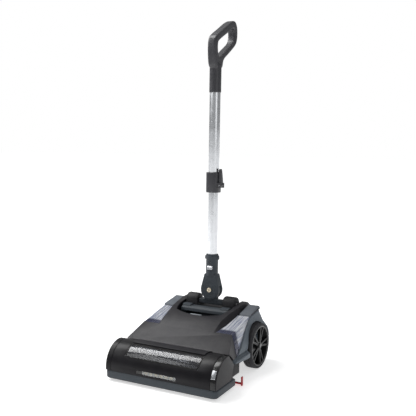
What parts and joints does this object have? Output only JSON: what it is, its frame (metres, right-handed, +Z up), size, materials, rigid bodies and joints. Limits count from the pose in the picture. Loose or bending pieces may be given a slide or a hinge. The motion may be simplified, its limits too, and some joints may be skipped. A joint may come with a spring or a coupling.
{
  "type": "carpet sweeper",
  "caption": "Upright cordless carpet sweeper: driven brush in a barrel housing with window and lamp, lift-out dust bin, spoked rear wheels, telescopic handle on a tilting and swivelling joint.",
  "frame": {"origin": "on the floor under the middle of the machine, centred between its front and rear ends", "axes": "+Z up, -Y to the front of the machine, +X to the right of someone facing its front"},
  "size_m": [0.39, 0.4941, 1.112],
  "materials": {
    "cover_plastic": "fine textured charcoal moulding",
    "shell_plastic": "satin near-black moulding",
    "slate_plastic": "textured dark slate moulding",
    "fender_plastic": "textured blue-grey moulding",
    "block_plastic": "coarse textured grey moulding",
    "gloss_black": "glossy black moulding",
    "matte_black": "matt black moulding",
    "clear_plastic": "clear tinted plastic",
    "lens_plastic": "clear lens",
    "tube_metal": "satin anodised",
    "steel": "plated steel",
    "brass": "pale plated brass",
    "grip_plastic": "fine textured charcoal moulding",
    "lever_red": "red moulding",
    "bristle": "dark nylon bristle",
    "tab_grey": "light grey moulding",
    "rubber": "matt black rubber",
    "tyre": "smooth soft tread",
    "board": "circuit board"
  },
  "bodies": {
    "chassis": {"base_tray": "matte_black", "belly_plate": "matte_black", "bumper": "slate_plastic", "brush_housing": "shell_plastic", "belt_cover": "shell_plastic", "end_band": "gloss_black", "end_plate": "shell_plastic", "end_marker": "steel", "brush_window": "clear_plastic", "led_lens": "lens_plastic", "led_board": "board", "rear_wiper": "rubber", "rear_housing": "slate_plastic", "battery_pack": "slate_plastic", "control_board": "board", "brush_bush_left": "tab_grey", "brush_bush_right": "tab_grey", "drive_motor": "steel", "drive_belt": "rubber", "cradle": "matte_black", "fender_left": "fender_plastic", "shoulder_cap_left": "block_plastic", "pitch_pin_left": "steel", "wheel_axle_left": "steel", "support_pin_left": "steel", "fender_right": "fender_plastic", "shoulder_cap_right": "block_plastic", "pitch_pin_right": "steel", "wheel_axle_right": "steel", "support_pin_right": "steel"},
    "wheel_left": {"tyre_left": "tyre", "rim_left": "gloss_black", "hub_cap_left": "gloss_black"},
    "wheel_right": {"tyre_right": "tyre", "rim_right": "gloss_black", "hub_cap_right": "gloss_black"},
    "support_left": {"support_wheel_left": "matte_black"},
    "support_right": {"support_wheel_right": "matte_black"},
    "brush": {"brush_core": "matte_black", "brush_bristles": "bristle", "brush_pulley": "matte_black"},
    "motor_rotor": {"motor_pulley": "brass"},
    "brush_release": {"release_lever": "lever_red"},
    "power_switch": {"power_button": "tab_grey"},
    "bin_unit": {"top_cover": "cover_plastic", "dust_bin": "clear_plastic", "bin_lid": "matte_black", "grip_bar": "slate_plastic"},
    "bin_release": {"bin_latch": "tab_grey"},
    "swivel_yoke": {"yoke": "slate_plastic"},
    "neck": {"neck_fork": "slate_plastic", "pivot_bolt": "brass", "pivot_nut": "steel", "lower_tube": "tube_metal"},
    "tube_clip": {"spring_clip": "steel"},
    "extension": {"upper_tube": "tube_metal", "height_collar": "grip_plastic", "clamp_pin": "steel", "handle_grip": "grip_plastic"},
    "tube_clamp": {"clamp_lever": "grip_plastic"}
  },
  "joints": [
    {"name": "wheel_left_spin", "type": "hinge", "parent": "chassis", "child": "wheel_left", "pos_m": [-0.167, 0.068, 0.072], "axis": [1, 0, 0], "continuous": true},
    {"name": "support_left_spin", "type": "hinge", "parent": "chassis", "child": "support_left", "pos_m": [-0.141, -0.072, 0.015], "axis": [1, 0, 0], "continuous": true},
    {"name": "wheel_right_spin", "type": "hinge", "parent": "chassis", "child": "wheel_right", "pos_m": [0.167, 0.068, 0.072], "axis": [1, 0, 0], "continuous": true},
    {"name": "support_right_spin", "type": "hinge", "parent": "chassis", "child": "support_right", "pos_m": [0.141, -0.072, 0.015], "axis": [1, 0, 0], "continuous": true},
    {"name": "brush_spin", "type": "hinge", "parent": "chassis", "child": "brush", "pos_m": [0, -0.177, 0.045], "axis": [1, 0, 0], "continuous": true},
    {"name": "motor_spin", "type": "hinge", "parent": "chassis", "child": "motor_rotor", "pos_m": [-0.13, -0.085, 0.04], "axis": [1, 0, 0], "continuous": true},
    {"name": "handle_pitch", "type": "hinge", "parent": "chassis", "child": "swivel_yoke", "pos_m": [0, 0.08796, 0.18983], "axis": [-1, 0, 0], "range_deg": [0, 75]},
    {"name": "handle_roll", "type": "hinge", "parent": "swivel_yoke", "child": "neck", "pos_m": [0, 0.084, 0.232], "axis": [0, 0.9993, -0.0366], "range_deg": [-50, 50]},
    {"name": "clip_press", "type": "slide", "parent": "neck", "child": "tube_clip", "axis": [0, 0.9993, -0.0366], "range_m": [0, 0.0013], "stiffness_N_per_m": 900, "springref_m": -0.0006},
    {"name": "telescope", "type": "slide", "parent": "neck", "child": "extension", "axis": [0, 0.0366, 0.9993], "range_m": [-0.19, 0.12]},
    {"name": "clamp_open", "type": "hinge", "parent": "extension", "child": "tube_clamp", "pos_m": [0.027, 0.09657, 0.57477], "axis": [0, 0.9993, -0.0366], "range_deg": [0, 100]},
    {"name": "bin_lift", "type": "slide", "parent": "chassis", "child": "bin_unit", "axis": [0, 0, 1], "range_m": [0, 0.16]},
    {"name": "bin_latch_press", "type": "slide", "parent": "bin_unit", "child": "bin_release", "axis": [0, 0, -1], "range_m": [0, 0.004], "stiffness_N_per_m": 500, "springref_m": -0.002},
    {"name": "power_press", "type": "slide", "parent": "chassis", "child": "power_switch", "axis": [0, -1, 0], "range_m": [0, 0.0025], "stiffness_N_per_m": 600, "springref_m": -0.001},
    {"name": "lever_slide", "type": "slide", "parent": "chassis", "child": "brush_release", "axis": [1, 0, 0], "range_m": [0, 0.012]}
  ],
  "couplings": [
    {"joint": "motor_spin", "follows": "brush_spin", "ratio": 2.5}
  ]
}
